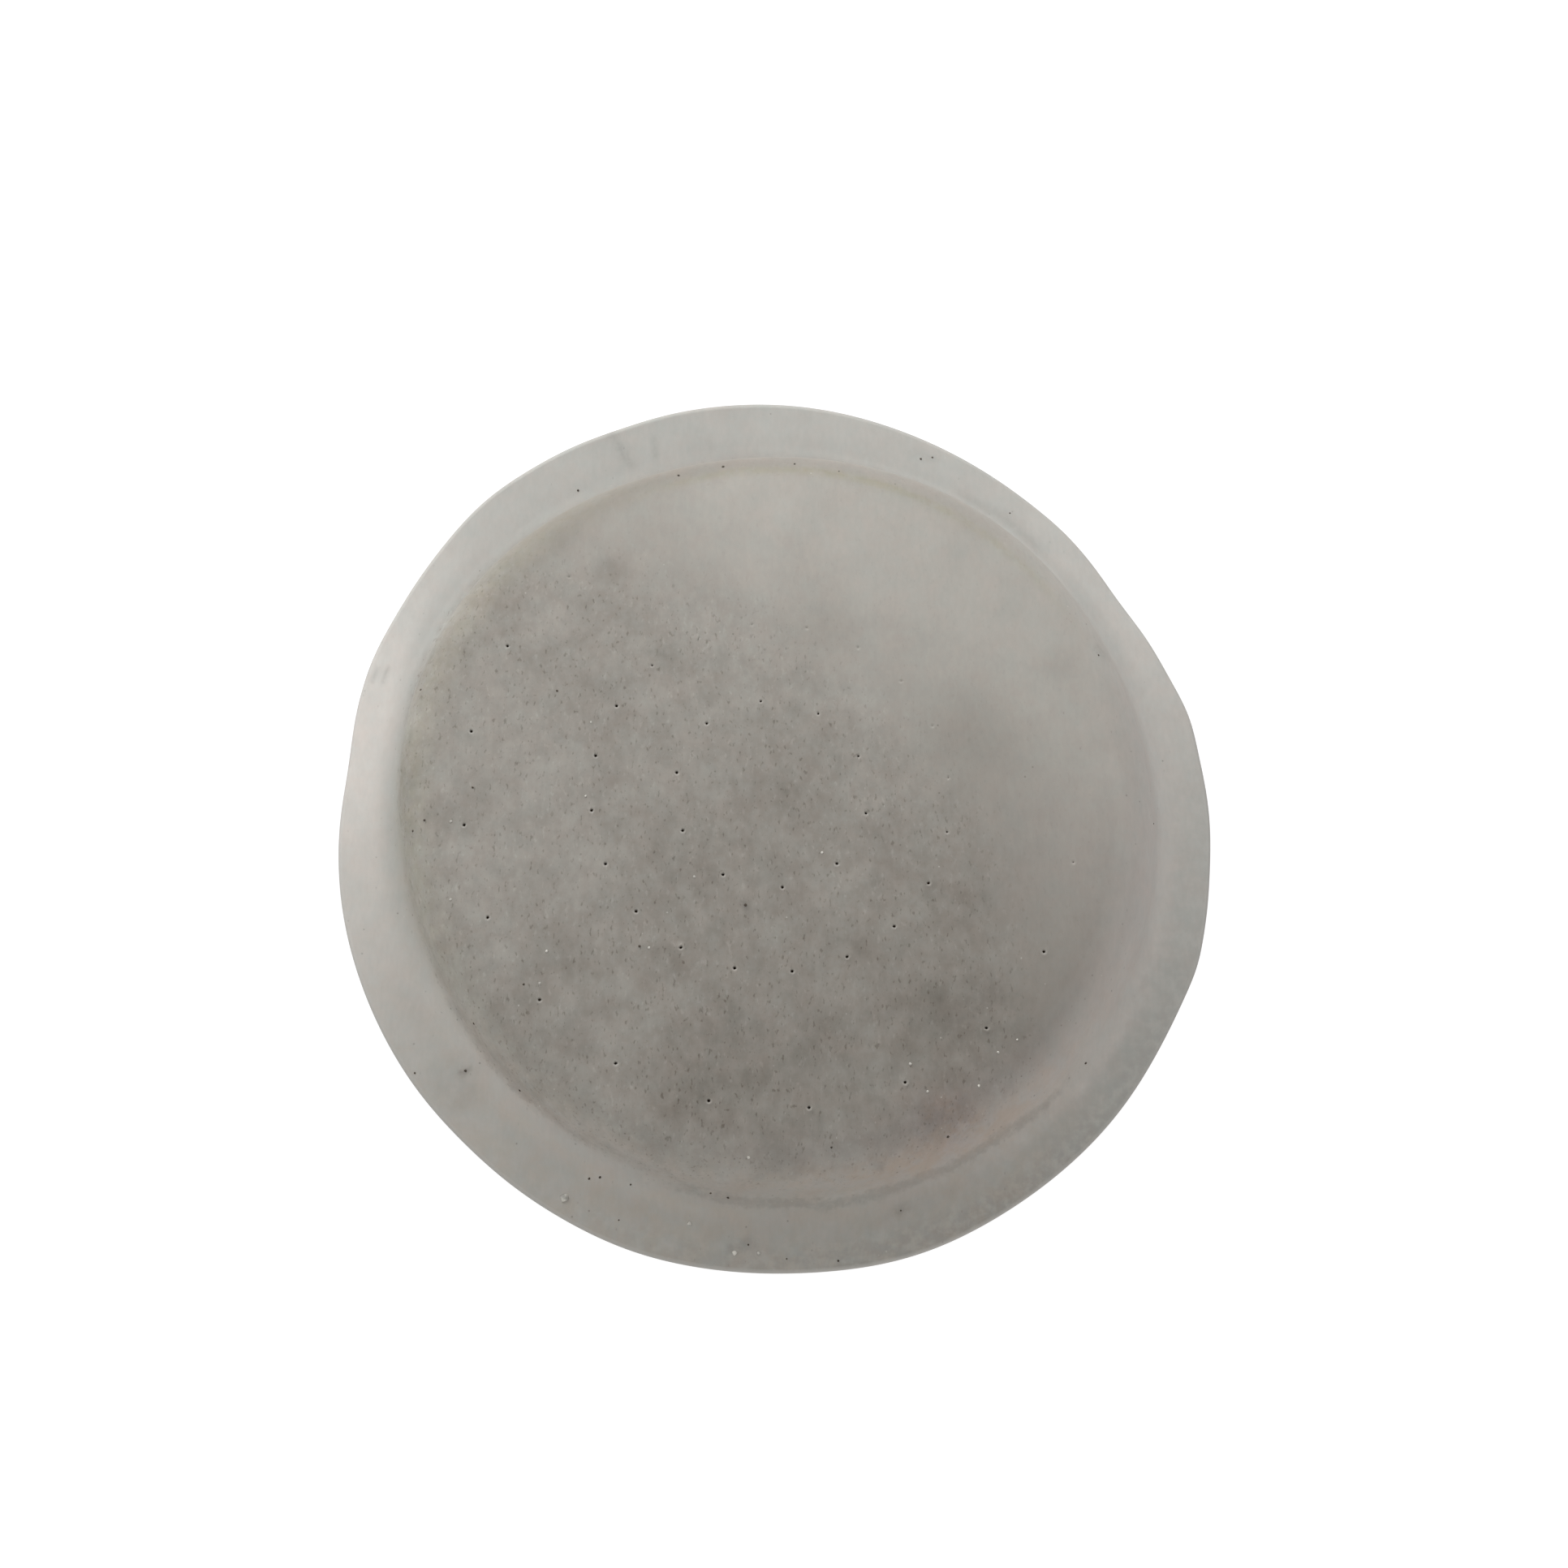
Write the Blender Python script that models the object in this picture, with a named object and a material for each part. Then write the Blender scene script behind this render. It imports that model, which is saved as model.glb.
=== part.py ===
"""Soft single-serve coffee pod: two sheets of filter paper sealed at the rim round a bed of ground coffee.

The origin is the centre of the face that the pod lies on, with +Z up through its formed, needled side.
Run it with blender --background --python part.py, or from the text editor.
"""

import math

import bmesh
import bpy
from mathutils import Matrix, Vector

# Sizes in metres.
BULGE_DIAMETER = 0.0606
FLANGE_WIDTH = 0.0047
FORMED_HEIGHT = 0.0053
UNDERSIDE_DEPTH = 0.0020
PAPER_THICKNESS = 0.00012
SEAM_GAP = 0.00003
COFFEE_CLEARANCE = 0.0001

WALL_LEAN = 0.0010
SHOULDER_RADIUS = 0.0030
FOOT_RADIUS = 0.0016
UNDERSIDE_SLOPE_WIDTH = 0.0033
UNDERSIDE_EDGE_RADIUS = 0.0060
COFFEE_EDGE_RADIUS = 0.0005

# Needle holes lie in three rings on shared spokes. The outer ring keeps a margin to the edge of the flat
# face, and the inner ones are shares of it. A ring has a hole on every spoke or on every second one. The whole
# pattern sits a little off the middle of the pod, as the needles met it.
NEEDLE_DIAMETER = 0.0004
NEEDLE_EDGE_MARGIN = 0.0030
MIDDLE_RING_SHARE = 0.584
INNER_RING_SHARE = 0.313
SPOKES = 20
FIRST_SPOKE_ANGLE = 6.9
NEEDLE_SHIFT = Vector((-0.00116, -0.00008, 0))

# The foot and the cut rim aren't quite round, and the seal isn't quite flat: it droops, and it waves up and
# down. Each lobe is its count round the pod, its size and its direction in degrees.
FOOT_LOBES = ((2, 0.00021, 146), (3, 0.00020, 33), (4, 0.00020, 62))
RIM_LOBES = ((1, 0.00051, 236), (2, 0.00044, 106), (3, 0.00026, 112), (5, 0.00011, 69))
SEAL_DROOP = 0.0003
SEAL_LOBES = ((1, 0.00018, 94), (2, 0.00011, 114), (3, 0.00037, 104))

# The grounds have slid away from one side, where the slack wall leans in further. The flat middle of the pod,
# up to this share of the foot's radius, stays as it is.
WALL_SLACK = 0.0009
WALL_SLACK_DIRECTION = math.radians(315)
WALL_SLACK_HALF_WIDTH = math.radians(55)
STILL_SHARE = 0.8

SEGMENTS = 80
SHOULDER_STEPS = 5
FOOT_STEPS = 3
SEAL_STEPS = 2
UNDERSIDE_STEPS = 3
NEEDLE_SIDES = 8

SEAM_Z = UNDERSIDE_DEPTH
FORMED_SEAM_Z = SEAM_Z + SEAM_GAP / 2
FLAT_SEAM_Z = SEAM_Z - SEAM_GAP / 2
FOOT_R = BULGE_DIAMETER / 2 - PAPER_THICKNESS
RIM_R = BULGE_DIAMETER / 2 + FLANGE_WIDTH
SEAL_R = FOOT_R + min(FOOT_RADIUS, FLANGE_WIDTH / 2)
SHOULDER = Vector((FOOT_R - WALL_LEAN, SEAM_Z + FORMED_HEIGHT - PAPER_THICKNESS))
UNDERSIDE_EDGE = Vector((FOOT_R - UNDERSIDE_SLOPE_WIDTH, PAPER_THICKNESS))
MERGE_DISTANCE = 1e-7
SMOOTH_ANGLE = math.radians(40)


def clear_scene():
    for obj in list(bpy.data.objects):
        bpy.data.objects.remove(obj)


def plain_material(name, colour, roughness):
    material = bpy.data.materials.new(name)
    material.use_nodes = True
    shader = material.node_tree.nodes["Principled BSDF"]
    shader.inputs["Base Color"].default_value = (*colour, 1)
    shader.inputs["Roughness"].default_value = roughness
    shader.inputs["Metallic"].default_value = 0
    return material


def add_object(name, mesh, material):
    """An object made from a bmesh, shaded smooth up to its sharp edges."""
    data = bpy.data.meshes.new(name)
    mesh.to_mesh(data)
    mesh.free()
    data.shade_smooth()
    data.set_sharp_from_angle(angle=SMOOTH_ANGLE)
    data.materials.append(material)
    obj = bpy.data.objects.new(name, data)
    bpy.context.scene.collection.objects.link(obj)
    return obj


def arc_at(before, corner, after, radius, steps):
    """Points of a fillet between two straight runs, no longer than the runs can hold."""
    back, ahead = before - corner, after - corner
    half_angle = back.angle(ahead) / 2
    tangent = min(radius / math.tan(half_angle), 0.48 * back.length, 0.48 * ahead.length)
    radius = tangent * math.tan(half_angle)
    back.normalize()
    ahead.normalize()
    centre = corner + (back + ahead).normalized() * radius / math.sin(half_angle)
    start, end = corner + back * tangent - centre, corner + ahead * tangent - centre
    first = math.atan2(start.y, start.x)
    turn = math.remainder(math.atan2(end.y, end.x) - first, 2 * math.pi)
    angles = (first + turn * step / steps for step in range(steps + 1))
    return [centre + Vector((math.cos(a), math.sin(a))) * radius for a in angles]


def rounded_path(corners):
    """Points (radius, height) along a profile, from corners that are (point, fillet radius, steps)."""
    points = [corners[0][0]]
    for (before, *_), (corner, radius, steps), (after, *_) in zip(corners, corners[1:], corners[2:]):
        points += arc_at(before, corner, after, radius, steps)
    points.append(corners[-1][0])
    return points


def sheet_path(face_edge, edge_radius, edge_steps, seam_z):
    """A sheet's profile: its flat face, the rounded edge, the slope down to the foot, and the seal."""
    inner_seal, rim = Vector((SEAL_R, seam_z)), Vector((RIM_R, seam_z))
    corners = [
        (Vector((0, face_edge.y)), 0, 0),
        (face_edge, edge_radius, edge_steps),
        (Vector((FOOT_R, seam_z)), FOOT_RADIUS, FOOT_STEPS),
        (rim, 0, 0),
    ]
    seal = [inner_seal.lerp(rim, step / SEAL_STEPS) for step in range(SEAL_STEPS + 1)]
    return rounded_path(corners)[:-1] + seal


def smooth_step(share):
    share = min(max(share, 0), 1)
    return share * share * (3 - 2 * share)


def lobed(lobes, angle):
    return sum(size * math.cos(count * (angle - math.radians(direction))) for count, size, direction in lobes)


def let_wander(mesh):
    """Lets the foot, the slack wall and the seal stray from a true turned form, as soft paper does."""
    for vert in mesh.verts:
        radius, angle = vert.co.xy.length, math.atan2(vert.co.y, vert.co.x)
        seal = smooth_step((radius - SEAL_R) / (RIM_R - SEAL_R))
        bulge = smooth_step((radius / FOOT_R - STILL_SHARE) / (1 - STILL_SHARE)) * (1 - seal)
        risen = smooth_step((vert.co.z - SEAM_Z) / (SHOULDER.y - SEAM_Z))
        aside = math.remainder(angle - WALL_SLACK_DIRECTION, 2 * math.pi)
        slack = WALL_SLACK * math.exp(-(aside / WALL_SLACK_HALF_WIDTH) ** 2)
        radius += bulge * (lobed(FOOT_LOBES, angle) - risen * slack) + seal * lobed(RIM_LOBES, angle)
        lift = seal * (lobed(SEAL_LOBES, angle) - SEAL_DROOP)
        vert.co = (radius * math.cos(angle), radius * math.sin(angle), vert.co.z + lift)


def spun(points):
    """A profile turned once round the Z axis."""
    mesh = bmesh.new()
    verts = [mesh.verts.new((point.x, 0, point.y)) for point in points]
    edges = [mesh.edges.new(pair) for pair in zip(verts, verts[1:])]
    bmesh.ops.spin(
        mesh, geom=verts + edges, axis=(0, 0, 1), cent=(0, 0, 0), angle=2 * math.pi, steps=SEGMENTS, use_merge=True
    )
    bmesh.ops.remove_doubles(mesh, verts=mesh.verts, dist=MERGE_DISTANCE)
    return mesh


def cap_rings(mesh, heights):
    """Closes the open rings at these heights with one flat face each."""
    for height in heights:
        ring = [
            edge for edge in mesh.edges
            if edge.is_boundary and all(abs(vert.co.z - height) < MERGE_DISTANCE for vert in edge.verts)
            and max(vert.co.xy.length for vert in edge.verts) < FOOT_R
        ]
        bmesh.ops.holes_fill(mesh, edges=ring, sides=len(ring))


def paper_sheet(name, points, faces_up, material):
    """A sheet whose inner face is the profile, and which has its thickness on the outer side."""
    mesh = spun(points[1:])
    cap_rings(mesh, [points[0].y])
    let_wander(mesh)
    bmesh.ops.recalc_face_normals(mesh, faces=mesh.faces)
    cap = max(mesh.faces, key=lambda face: len(face.verts))
    if (cap.normal.z > 0) != faces_up:
        bmesh.ops.reverse_faces(mesh, faces=mesh.faces)
    sheet = add_object(name, mesh, material)
    thicken = sheet.modifiers.new("Paper thickness", "SOLIDIFY")
    thicken.thickness = PAPER_THICKNESS
    thicken.offset = 1
    thicken.use_even_offset = True
    return sheet


def needle_centres(outer_ring_r):
    """Where each needle went through, ring by ring, on spokes that all rings share."""
    every_spoke, second_spokes = range(SPOKES), range(1, SPOKES, 2)
    rings = ((1, every_spoke), (MIDDLE_RING_SHARE, every_spoke), (INNER_RING_SHARE, second_spokes))
    for share, spokes in rings:
        for spoke in spokes:
            angle = math.radians(FIRST_SPOKE_ANGLE) + 2 * math.pi * spoke / SPOKES
            yield NEEDLE_SHIFT + Vector((math.cos(angle), math.sin(angle), 0)) * outer_ring_r * share


def pierce(sheet, face_r):
    """Cuts the needle holes through the formed face, whose flat part has this radius."""
    mesh = bmesh.new()
    middle = Vector((0, 0, SHOULDER.y + PAPER_THICKNESS / 2))
    for centre in needle_centres(face_r - NEEDLE_EDGE_MARGIN):
        bmesh.ops.create_cone(
            mesh, cap_ends=True, segments=NEEDLE_SIDES, radius1=NEEDLE_DIAMETER / 2, radius2=NEEDLE_DIAMETER / 2,
            depth=5 * PAPER_THICKNESS, matrix=Matrix.Translation(centre + middle),
        )
    needles = add_object("needles", mesh, sheet.data.materials[0])
    needles.hide_render = True
    needles.display_type = "WIRE"
    needles.parent = sheet
    cut = sheet.modifiers.new("Needle holes", "BOOLEAN")
    cut.operation = "DIFFERENCE"
    cut.solver = "EXACT"
    cut.object = needles


def make_formed_paper(material):
    """The upper sheet: a flat face, a soft shoulder, a leaning wall and the seal round its foot."""
    path = sheet_path(SHOULDER, SHOULDER_RADIUS, SHOULDER_STEPS, FORMED_SEAM_Z)
    sheet = paper_sheet("formed_filter_paper", path, True, material)
    pierce(sheet, path[1].x)


def make_flat_paper(material):
    """The lower sheet: the face that the pod lies on, a shallow slope and the seal."""
    path = sheet_path(UNDERSIDE_EDGE, UNDERSIDE_EDGE_RADIUS, UNDERSIDE_STEPS, FLAT_SEAM_Z)
    paper_sheet("flat_filter_paper", path, False, material)


def inset(corners, distance):
    """Corners moved to the right of the way they run, so that each straight run shifts by the distance."""
    moved = []
    for index, (corner, *fillet) in enumerate(corners):
        runs = [b[0] - a[0] for a, b in zip(corners[max(index - 1, 0):], corners[max(index, 1):index + 2])]
        sides = [Vector((run.y, -run.x)).normalized() for run in runs]
        mitre = sum(sides, Vector((0, 0))).normalized()
        moved.append((corner + mitre * distance / mitre.dot(sides[0]), *fillet))
    return moved


def make_coffee(material):
    """The bed of grounds, which fills the space between the sheets up to a small clearance."""
    outline = inset(
        [
            (Vector((0, SHOULDER.y)), 0, 0),
            (SHOULDER, SHOULDER_RADIUS - COFFEE_CLEARANCE, SHOULDER_STEPS),
            (Vector((FOOT_R, SEAM_Z)), COFFEE_EDGE_RADIUS, FOOT_STEPS),
            (UNDERSIDE_EDGE, UNDERSIDE_EDGE_RADIUS - COFFEE_CLEARANCE, UNDERSIDE_STEPS),
            (Vector((0, UNDERSIDE_EDGE.y)), 0, 0),
        ],
        COFFEE_CLEARANCE,
    )
    points = rounded_path(outline)
    mesh = spun(points[1:-1])
    cap_rings(mesh, [points[0].y, points[-1].y])
    let_wander(mesh)
    bmesh.ops.recalc_face_normals(mesh, faces=mesh.faces)
    add_object("ground_coffee", mesh, material)


def main():
    clear_scene()
    paper = plain_material("filter paper", (0.78, 0.76, 0.72), 0.9)
    underside_paper = plain_material("filter paper underside", (0.74, 0.72, 0.68), 0.9)
    grounds = plain_material("ground coffee", (0.09, 0.05, 0.03), 0.95)
    make_formed_paper(paper)
    make_flat_paper(underside_paper)
    make_coffee(grounds)


if __name__ == "__main__":
    main()
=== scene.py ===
"""Dresses a soft coffee pod: two sheets of filter paper, sealed at the rim round a bed of ground coffee.

The file is laid out as an add-on and run as a script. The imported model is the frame, so every piece lies
where its CAD node lies: in metres, with +Z up through the needled face and the origin under the middle of
the pod. Angles run anticlockwise from +X, seen from above, and colours are linear. In the tables below,
places and sizes are in mm, and a row with a direction starts with it and a half width, both in degrees.
"""

import math

import bmesh
import bpy
from bpy.props import FloatProperty, FloatVectorProperty, IntProperty, PointerProperty
from mathutils import Matrix, Vector, noise
from mathutils.kdtree import KDTree


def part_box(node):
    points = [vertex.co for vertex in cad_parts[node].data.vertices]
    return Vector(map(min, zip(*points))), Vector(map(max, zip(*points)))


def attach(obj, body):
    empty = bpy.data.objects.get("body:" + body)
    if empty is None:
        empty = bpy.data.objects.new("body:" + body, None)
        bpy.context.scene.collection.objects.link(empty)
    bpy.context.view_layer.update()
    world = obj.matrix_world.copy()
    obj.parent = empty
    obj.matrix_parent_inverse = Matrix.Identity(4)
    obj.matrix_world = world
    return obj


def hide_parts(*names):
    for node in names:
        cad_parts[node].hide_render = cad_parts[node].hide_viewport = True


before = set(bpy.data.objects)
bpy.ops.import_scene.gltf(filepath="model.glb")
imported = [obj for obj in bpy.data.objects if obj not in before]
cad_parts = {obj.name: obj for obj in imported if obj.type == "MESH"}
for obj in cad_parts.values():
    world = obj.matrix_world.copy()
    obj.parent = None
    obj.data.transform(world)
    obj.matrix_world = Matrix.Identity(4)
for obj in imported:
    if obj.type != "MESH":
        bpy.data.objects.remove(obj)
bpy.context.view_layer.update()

bl_info = {
    "name": "Soft coffee pod",
    "version": (1, 0, 0),
    "blender": (4, 5, 0),
    "location": "3D View > Sidebar > Coffee pod",
    "description": "Filter paper, ground coffee and a plain stage for a soft coffee pod",
    "category": "Object",
}

MM = 0.001

# The foot of the bulge and the cut rim aren't quite round. Each lobe is its count round the pod, its size and
# its direction in degrees.
FOOT_LOBES = ((2, 0.21, 146), (3, 0.20, 33), (4, 0.20, 62))
RIM_LOBES = ((1, 0.51, 236), (2, 0.44, 106), (3, 0.26, 112), (5, 0.11, 69))

# Soft corners and flats where the cut rim was nicked or bent: direction, half width, and size.
RIM_CORNERS = (
    (15, 5, 0.28), (34, 6, -0.28), (47, 5, 0.08), (134, 7, 0.20), (160, 5, 0.12), (175, 7, -0.36),
    (197, 14, 0.14), (288, 10, 0.14), (329, 9, -0.15), (340, 4, 0.12), (45, 26, 0.26), (88, 14, 0.17),
    (113, 6, -0.14), (170, 13, 0.26), (192, 9, 0.08), (228, 8, -0.12), (252, 9, 0.16), (273, 9, -0.10),
    (317, 16, 0.12), (353, 7, -0.17),
)

# Bends of the seal: direction, half width, rise at the rim, and how late the bend starts (1 is at the foot,
# more is nearer the rim).
SEAL_BENDS = (
    (168, 28, -0.75, 1.2), (38, 30, -0.70, 1.7), (108, 28, 0.35, 1.2), (285, 36, -0.75, 2.4),
    (225, 16, -0.30, 2.5), (350, 14, 0.12, 1.0), (205, 12, 0.10, 1.5),
)

# Where the sealing tool left a groove beside the foot and a ridge past it, and how deep and high they are.
PRESSED = ((285, 50, 0.05),)

# Where the wall leans in further, as the grounds have slid away from it: direction, half width, and how far.
SLACK_WALL = ((315, 55, 0.9), (20, 30, 0.4))

# How far the face sags at the outer needle holes, which lie at NEEDLED_SHARE of the foot's radius: all round,
# and added by direction and half width. The sag grows with SAG_POWER of the radius.
EVEN_SAG = 0.25
FACE_SAG = ((313, 50, 0.5), (115, 35, 0.2))
NEEDLED_SHARE = 0.78
SAG_POWER = 2.4

# Soft radial folds of the face where it turns into the shoulder: direction, half width, and height.
FACE_FOLDS = (
    (88, 3, 0.05), (95, 2.5, -0.05), (103, 3, 0.04), (110, 3, -0.05), (60, 4, 0.04), (52, 3, -0.04),
    (20, 5, 0.04), (8, 3, -0.04), (150, 5, 0.03), (210, 4, 0.04), (222, 3, -0.04), (262, 4, 0.04),
    (300, 5, 0.05), (318, 4, -0.04),
)

# Rings of needle holes: radius, which spokes they use, how far the holes have closed on the clear side, how
# oval the ring is, and how far it is shifted. Then the directions of the oval and of the clear side, and how
# open a hole has to be, from 0 to 1, to be made.
NEEDLE_RINGS = (
    (23.71, slice(0, None), 0.95, 0.19, (0.115, -0.13)),
    (13.83, slice(0, None), 0.5, 0, (-0.03, 0.04)),
    (7.43, slice(1, None, 2), 0.15, 0, (-0.06, 0.09)),
)
OVAL_DIRECTION = 126.5
CLEAR_DIRECTION = 62
LEAST_OPENNESS = 0.2

# The lip of a needle hole: how far out it starts, how high it rises, how far down its inner edge turns, and
# the radius of its crest as a share of the hole's.
LIP_REACH = 0.30
LIP_RISE = 0.02
LIP_DROP = 0.03
LIP_CREST = 1.15

# Grains on the surface of the bed: their spacing, how steep they are, and the depth of the clefts.
GRAIN_SPACING = 0.62
GRAIN_SLOPE = 0.16
CLEFT_DEPTH = 0.12

# The grounds thin out along this direction, to nothing over this run from the middle of the pod.
THIN_SIDE = Vector((0.5, 0.87))
THIN_RUN = 20

# How far out the grounds lie behind the paper: a radius, what the upper side adds to it, and what each
# direction adds. Then how soft that edge is: half its width, and what each direction adds.
BED_RADIUS = 29.2
UPPER_REACH = 1.65
BED_REACH = ((146, 17, 0.65), (229, 34, 0.95), (345, 40, -0.4))
EDGE_SOFTNESS = 0.45
SOFT_EDGES = ((310, 50, 0.55), (172, 14, 0.35), (90, 40, 0.35), (128, 24, 0.70), (229, 32, -0.18))

# How closely the paper of the wall lies on the grounds, by direction, and where it comes clear of them.
WALL_CONTACT = ((106, 54, 0.70), (128, 22, 0.12), (50, 18, 0.10), (178, 22, 0.40))
CLEAR_RADIUS = 29.3
CLEAR_REACH = ((218, 26, 0.9), (296, 22, 0.3), (350, 35, -1.9))

# Patches where the grounds lie closer behind the paper, or less close: x, y, radius, and strength.
BED_PATCHES = (
    (14, -16, 6.5, 0.12), (-4, -22, 6, 0.15), (9, -21, 5, -0.05), (12, -8, 3.5, 0.06), (-17, -14, 4, 0.07),
    (-16, 9, 3.5, 0.10), (-9, 11, 3, 0.07), (0, 3, 3.5, 0.06), (-6, -5, 3.5, 0.07), (-26, -2, 3, 0.04),
    (-24, -14, 4, 0.05), (-27, 8, 2.5, 0.13), (3, -8, 4, -0.09), (-19, -3, 5, -0.09), (-13, -20, 4, -0.06),
    (21, -9, 6, -0.11), (-17, 4, 13, -0.13), (-6, 4, 5, -0.06), (-22, -12, 6, -0.12), (-25, 3, 5.5, -0.16),
    (11, -16, 2, 0.31), (-7, -23, 2, 0.26), (15, 6, 4.5, 0.24), (3, -18, 2, 0.28), (16, -18, 3, 0.09),
    (-25, -5, 1.3, -0.35), (-21, -13, 1.3, -0.35), (6, -12, 1.3, 0.32), (-19, 14, 2, -0.27),
    (-10, -5, 1.3, 0.28), (3, 14, 3, 0.23), (-2, -22, 1.3, 0.24), (-14, 18, 1.3, 0.30), (9, -19, 1.3, 0.28),
    (-26, 0, 1.3, -0.21), (-14, 2, 2, 0.18), (-8, -12, 2, 0.17), (0, 0, 1.3, 0.24), (14, -8, 1.3, 0.18),
    (-12, -15, 1.3, -0.24), (22, 11, 2, 0.21), (-11, -8, 1.3, 0.21), (12, -22, 2, 0.14), (-8, 16, 4.5, 0.13),
    (-9, -27, 1.8, 0.11), (-10, 23, 3.5, 0.14), (7, -27, 1.8, 0.11), (11, -26, 1.8, 0.11),
    (14, 23, 1.8, 0.10), (-13, -11, 1.8, -0.12), (4, -4, 1.8, 0.12), (8, -2, 1.8, -0.11),
    (10, 13, 2.5, 0.11), (1, 19, 2.5, 0.10), (-23, 10, 1.8, -0.11), (22, 16, 1.8, 0.10),
)

# Tints in soft rings round the pod: a thin line and a band of oil stain at the foot, the blush of the wall,
# and the rose of the right side. Each has a radius and a half width, then its strength by direction.
STAIN_RINGS = (
    (27.3, 0.38, ((80, 26, 0.9), (50, 14, 0.4), (104, 10, 0.25))),
    (28.8, 1.5, ((185, 34, 0.55), (136, 22, 0.45))),
)
BLUSH_RINGS = ((29.2, 1.25, ((293, 30, 0.95), (232, 24, 0.35))),)
ROSE_RINGS = ((28.0, 2.6, ((335, 32, 0.3), (12, 20, 0.2), (295, 30, 0.5))),)

# Tints in soft round spots: x, y, half width, and strength. Both share the reddish brown patch.
BLUSH_SPOTS = ((11.9, -24.3, 2.4, 0.9),)
ROSE_SPOTS = ((22, -5, 7, 0.25), (11.9, -24.3, 2.6, 0.8))

# The blush of the seal by direction, and over which radii it comes in.
BLUSH_SEAL = ((250, 42, 0.55), (300, 16, 0.38))
BLUSH_START = (30.6, 31.6)

# Grains show most round this place, from which they fade over these distances, and less in these spots.
GRAINY_PLACE = Vector((-20, -20))
GRAINY_REACH = (35, 42)
SPARSE_SPOTS = ((14, -18, 10, 0.16),)

# Painted light on the lower foot, on the ridge past the sealing line, and on the outer seal at the left,
# where light falls brighter. At the lower foot it is partly paler paper that stands clear of the grounds.
FOOT_PALE_AND_LIT = ((350, 38, 0.72), (308, 24, 0.22), (234, 20, 0.52), (208, 16, 0.30), (265, 60, 0.14))
RIDGE_PAINTED_LIGHT = ((262, 32, 0.30), (316, 20, 0.50))
LEFT_PAINTED_LIGHT = ((171, 23, 1.0), (202, 12, 0.24))

# Grey smudges on the seal and the face, and painted shade along creases: start, end, half width, and
# strength.
SMUDGES_AND_CREASE_SHADE = (
    (-14.9, 32.2, -12.9, 29.4, 0.45, 0.17), (-11.0, 31.7, -10.8, 30.2, 0.28, 0.13),
    (-6.3, 31.8, -6.2, 30.6, 0.30, 0.05), (10.6, 31.4, 12.8, 30.9, 0.45, 0.12),
    (-32.9, 10.0, -32.5, 11.0, 0.18, 0.16), (-32.0, 9.9, -31.7, 11.0, 0.20, 0.20),
    (-24.4, -20.2, -23.4, -22.4, 0.9, 0.06), (-29.0, -15.5, -27.0, -18.5, 1.2, 0.04),
    (-26.0, -21.5, -24.5, -23.5, 1.0, 0.06), (18.5, 25.8, 21.0, 23.4, 0.7, 0.10),
    (15.0, 27.6, 17.4, 26.3, 0.6, 0.10), (10.6, -24.5, 13.4, -24.6, 1.3, 0.14),
    (13.0, -17.0, 15.5, -14.8, 1.2, 0.16), (25.0, 13.2, 25.5, 12.6, 0.35, 0.14),
    (-3.5, -33.9, -2.1, -33.4, 0.4, 0.14), (9.0, -31.1, 9.5, -30.8, 0.4, 0.18),
    (28.0, -14.4, 28.6, -13.0, 0.4, 0.08), (-9.9, 11.1, -9.2, 10.6, 0.4, 0.16),
    (-3.4, -8.6, -2.9, -9.1, 0.35, 0.22), (7.1, -27.8, 7.4, -27.9, 0.4, 0.20),
    (-24.1, -21.1, -23.7, -20.9, 0.28, 0.32),
)

# Crumbs of coffee stuck to the paper, and pale knots of fibre: x, y, and diameter.
CRUMBS = (
    (-23.9, -21.0, 0.20), (-19.7, -22.5, 0.20), (-28.5, 8.0, 0.19), (-3.9, -30.2, 0.19), (-13.5, -28.8, 0.18),
    (-14.3, -28.9, 0.18), (-11.2, -29.3, 0.14), (-12.0, -31.9, 0.12), (-27.7, -21.2, 0.16),
    (-17.1, 26.8, 0.20), (-8.9, 26.7, 0.21), (-5.3, 27.6, 0.23), (0.5, 28.0, 0.18), (4.1, 27.4, 0.12),
    (11.5, 30.9, 0.19), (12.5, 31.1, 0.16), (25.0, 12.4, 0.17), (19.0, 26.3, 0.14), (29.4, -0.9, 0.14),
    (23.7, -19.7, 0.20), (-2.3, -33.6, 0.15), (4.5, -34.7, 0.16), (0.6, -34.6, 0.12), (9.2, -31.0, 0.13),
    (-3.1, -8.8, 0.23), (-17.9, 7.8, 0.17), (-11.0, -12.1, 0.20), (-27.5, -2.7, 0.19), (-28.4, -3.4, 0.17),
    (-24.0, -0.1, 0.17), (-5.2, -29.9, 0.17), (-23.2, -17.8, 0.19), (12.4, -25.7, 0.22), (3.5, -26.7, 0.16),
    (-19.5, -15.1, 0.17),
)
FIBRE_KNOTS = (
    (-16.1, -30.3, 0.60), (9.4, -20.5, 0.22), (10.7, -22.5, 0.20), (16.1, -19.5, 0.20), (-18.3, -15.0, 0.20),
    (14.6, -22.0, 0.20), (-25.5, -2.8, 0.20), (-7.0, -6.7, 0.20), (-17.9, -12.6, 0.20), (-25.2, -8.8, 0.20),
    (-10.3, -12.2, 0.20), (2.7, -4.6, 0.18), (-2.6, -27.5, 0.20), (-15.2, 5.3, 0.18), (-18.1, -23.7, 0.20),
    (-15.4, -0.6, 0.18), (-6.7, -32.1, 0.30), (-3.3, -34.2, 0.34), (-1.5, -34.2, 0.30), (17.6, -18.5, 0.16),
)

# Tints between which the paper's colour drifts, and how strongly coffee that touches the paper shows through.
COOL_DRIFT = (0.978, 1.006, 1.008)
WARM_DRIFT = (1.020, 0.994, 0.982)
SHOW_THROUGH = 0.667

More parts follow.
